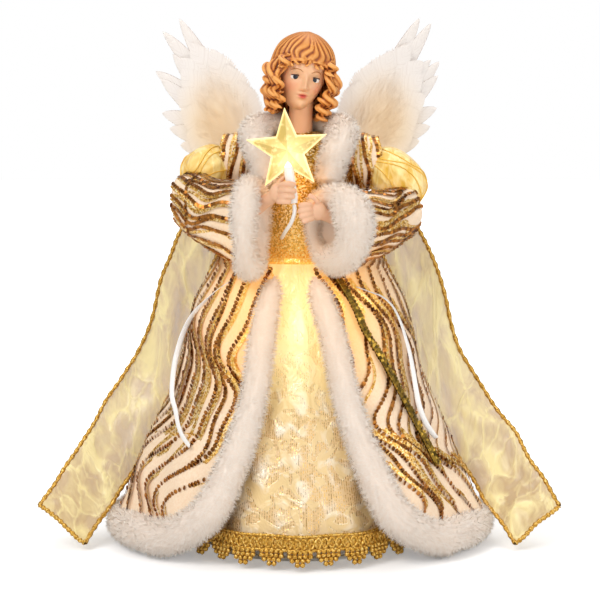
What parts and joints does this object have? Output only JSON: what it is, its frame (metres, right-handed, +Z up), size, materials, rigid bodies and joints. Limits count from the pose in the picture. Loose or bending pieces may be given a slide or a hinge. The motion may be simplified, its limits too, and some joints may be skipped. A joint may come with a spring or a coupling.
{
  "type": "angel tree topper",
  "caption": "Standing angel doll on a hollow cone for the top of a tree, with fur-edged coat, brocade skirt, lighted star in hand and feather wings that swing on geared shafts.",
  "frame": {"origin": "floor level on the axis of the tree cone, under the middle of the figure", "axes": "+Z up, the figure faces -Y, +X is the figure's own left"},
  "size_m": [0.3483, 0.1864, 0.3528],
  "materials": {
    "white_plastic": "moulded, satin",
    "black_rubber": "matte",
    "light_lens": "clear, lit warm",
    "brocade": "woven brocade with lurex",
    "gold_braid": "metallic braid",
    "white_fur": "long white pile",
    "coat_satin": "satin with gold glitter and sequin stripes",
    "organza": "sheer, wired gold edges",
    "sequins": "gold sequins and glitter",
    "white_ribbon": "satin cord",
    "zinc_steel": "zinc plated",
    "acetal": "moulded",
    "wing_backing": "stiffened felt",
    "feather": "goose feather",
    "doll_skin": "painted vinyl",
    "clear_star": "clear faceted, lit from inside",
    "white_socket": "moulded"
  },
  "bodies": {
    "figure": {"tree_cone": "white_plastic", "light_ring": "white_plastic", "torso_front_shell": "white_plastic", "torso_rear_shell": "white_plastic", "lead_gland": "black_rubber", "skirt_light_1": "light_lens", "skirt_light_2": "light_lens", "skirt_light_3": "light_lens", "skirt_light_4": "light_lens", "star_bulb": "light_lens", "underskirt": "brocade", "hem_braid": "gold_braid", "coat_fur_trim": "white_fur", "fur_collar": "white_fur", "right_fur_cuff": "white_fur", "left_fur_cuff": "white_fur", "coat": "coat_satin", "stole": "organza", "right_sleeve_puff": "organza", "left_sleeve_puff": "organza", "sequin_tail": "sequins", "bodice": "sequins", "belt": "sequins", "right_upper_sleeve": "sequins", "left_upper_sleeve": "sequins", "right_lower_sleeve": "sequins", "left_lower_sleeve": "sequins", "left_tie": "white_ribbon", "right_tie": "white_ribbon", "torso_screw_1": "zinc_steel", "torso_screw_2": "zinc_steel", "torso_screw_3": "zinc_steel", "torso_screw_4": "zinc_steel", "gear_motor": "zinc_steel", "right_arm_wire": "zinc_steel", "left_arm_wire": "zinc_steel", "drive_plate": "acetal", "top_plate": "acetal", "head_and_hair": "doll_skin", "right_hand": "doll_skin", "left_hand": "doll_skin", "star_front_shell": "clear_star", "star_back_shell": "clear_star", "star_socket": "white_socket", "star_cable": "white_socket"},
    "left_wing": {"left_wing_shaft": "acetal", "left_wing_panel": "wing_backing", "left_wing_long_feathers": "feather", "left_wing_short_feathers": "feather", "left_wing_down": "feather"},
    "right_wing": {"right_wing_shaft": "acetal", "right_wing_panel": "wing_backing", "right_wing_long_feathers": "feather", "right_wing_short_feathers": "feather", "right_wing_down": "feather"},
    "rack": {"wing_rack": "acetal"},
    "crank": {"crank": "acetal"}
  },
  "joints": [
    {"name": "left_wing_hinge", "type": "hinge", "parent": "figure", "child": "left_wing", "pos_m": [0.013, 0.0145, 0.246], "axis": [0, 0, -1], "range_deg": [0, 28]},
    {"name": "right_wing_hinge", "type": "hinge", "parent": "figure", "child": "right_wing", "pos_m": [-0.013, 0.0145, 0.246], "axis": [0, 0, 1], "range_deg": [0, 28]},
    {"name": "rack_slide", "type": "slide", "parent": "figure", "child": "rack", "axis": [0, 1, 0], "range_m": [0, 0.00345]},
    {"name": "crank_turn", "type": "hinge", "parent": "figure", "child": "crank", "pos_m": [0, 0.002, 0.209], "axis": [0, 0, 1], "continuous": true}
  ],
  "couplings": [
    {"joint": "right_wing_hinge", "follows": "left_wing_hinge", "ratio": 1},
    {"joint": "rack_slide", "follows": "left_wing_hinge", "m_per_rad": 0.007}
  ]
}
